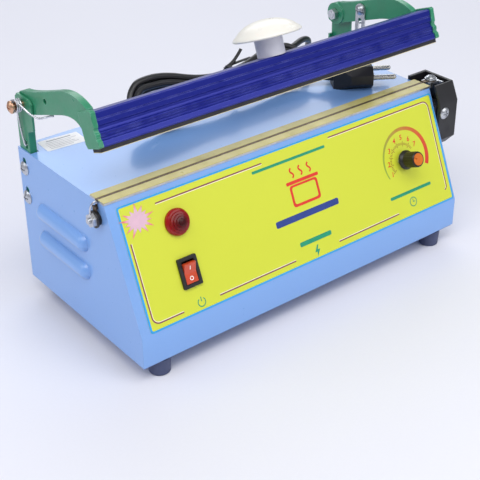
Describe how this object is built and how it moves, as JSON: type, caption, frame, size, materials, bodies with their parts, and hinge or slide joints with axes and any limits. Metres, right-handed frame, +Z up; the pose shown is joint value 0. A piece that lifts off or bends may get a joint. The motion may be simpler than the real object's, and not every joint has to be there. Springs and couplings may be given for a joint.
{
  "type": "impulse heat sealer",
  "caption": "Bench impulse heat sealer: sheet-steel box with a taped jaw, hinged press arm with a mushroom knob, timer dial, rocker switch, lamp and tied mains cord.",
  "frame": {"origin": "centre of the machine's footprint envelope on the surface it stands on, cord left out", "axes": "+X to the operator's right along the sealing jaw, +Y to the back, +Z up"},
  "size_m": [0.33, 0.1991, 0.2074],
  "materials": {
    "blue_box": "textured paint",
    "base_paint": "textured paint",
    "label_film": "printed film",
    "foot_rubber": "matt",
    "black_rubber": "matt",
    "cord_pvc": "satin",
    "aluminium": "mill finish",
    "blue_anodised": "anodised",
    "green_paint": "gloss enamel",
    "zinc_steel": "zinc plated",
    "nickel": "nickel plated",
    "brass": "passivated",
    "ribbon": "bright drawn",
    "cloth": "coated glass cloth",
    "pad": "glass cloth",
    "tape": "coated glass cloth",
    "ivory": "moulded",
    "black_plastic": "moulded",
    "orange_cap": "moulded",
    "red_rocker": "moulded",
    "red_lens": "clear moulded",
    "core_steel": "varnished laminations",
    "enamel_wire": "varnished winding",
    "board": "solder mask",
    "wire": "insulation"
  },
  "bodies": {
    "frame": {"housing_shell": "blue_box", "base_plate": "base_paint", "base_screws": "zinc_steel", "rubber_feet": "foot_rubber", "foot_screws": "zinc_steel", "labels": "label_film", "jaw_bar": "aluminium", "jaw_nuts": "zinc_steel", "jaw_pad": "pad", "heating_element": "ribbon", "ptfe_strips": "cloth", "terminal_bolt_left": "zinc_steel", "terminal_washers_left": "black_plastic", "terminal_nut_left": "zinc_steel", "tension_block": "black_plastic", "tension_clip": "zinc_steel", "tension_spring": "zinc_steel", "tension_screw": "zinc_steel", "terminal_cover": "black_plastic", "cover_screw": "zinc_steel", "hinge_post_left": "green_paint", "hinge_post_right": "green_paint", "post_screws": "zinc_steel", "pivot_bolts": "brass", "pivot_nuts": "zinc_steel", "microswitch_body": "black_plastic", "microswitch_bracket": "zinc_steel", "transformer_core": "core_steel", "transformer_coil": "enamel_wire", "transformer_clamp": "zinc_steel", "timer_board": "board", "potentiometer": "zinc_steel", "pot_nut": "zinc_steel", "indicator_lens": "red_lens", "lamp_holder": "black_plastic", "switch_body": "black_plastic", "wiring": "wire", "cord_gland": "cord_pvc", "power_cord": "cord_pvc", "cord_hank": "cord_pvc", "plug_lead": "cord_pvc", "twist_tie": "cord_pvc", "plug_body": "cord_pvc", "plug_pins": "nickel"},
    "press_arm": {"arm_left": "green_paint", "arm_right": "green_paint", "press_bar": "blue_anodised", "press_rubber": "black_rubber", "press_tape": "tape", "torsion_springs": "zinc_steel", "knob_stem": "ivory", "knob_stud": "zinc_steel", "push_knob": "ivory", "link_screw": "zinc_steel"},
    "switch_link": {"switch_link": "zinc_steel"},
    "switch_rocker": {"switch_rocker": "red_rocker"},
    "timer_knob": {"timer_knob": "black_plastic", "timer_knob_cap": "orange_cap", "pot_shaft": "brass"},
    "switch_lever": {"microswitch_lever": "zinc_steel"}
  },
  "joints": [
    {"name": "press_arm_hinge", "type": "hinge", "parent": "frame", "child": "press_arm", "pos_m": [-0.005, 0.062, 0.157], "axis": [1, 0, 0], "range_deg": [0, 20.5], "stiffness_Nm_per_rad": 0.4, "springref_deg": -74.48, "deforming": ["torsion_springs"]},
    {"name": "switch_link_hinge", "type": "hinge", "parent": "press_arm", "child": "switch_link", "pos_m": [0, 0.03253, 0.16813], "axis": [1, 0, 0], "range_deg": [-20.5, 0]},
    {"name": "rocker_tilt", "type": "hinge", "parent": "frame", "child": "switch_rocker", "pos_m": [-0.108, -0.06107, 0.06464], "axis": [-1, 0, 0], "range_deg": [0, 22]},
    {"name": "timer_turn", "type": "hinge", "parent": "frame", "child": "timer_knob", "pos_m": [0.1005, -0.05604, 0.07891], "axis": [0, -0.9191, 0.3939], "range_deg": [-208, 62]},
    {"name": "lever_press", "type": "hinge", "parent": "frame", "child": "switch_lever", "pos_m": [0.137, 0.0423, 0.0837], "axis": [1, 0, 0], "range_deg": [0, 2.8], "stiffness_Nm_per_rad": 0.02, "springref_deg": -5.73}
  ],
  "couplings": [
    {"joint": "switch_link_hinge", "follows": "press_arm_hinge", "ratio": -1}
  ]
}
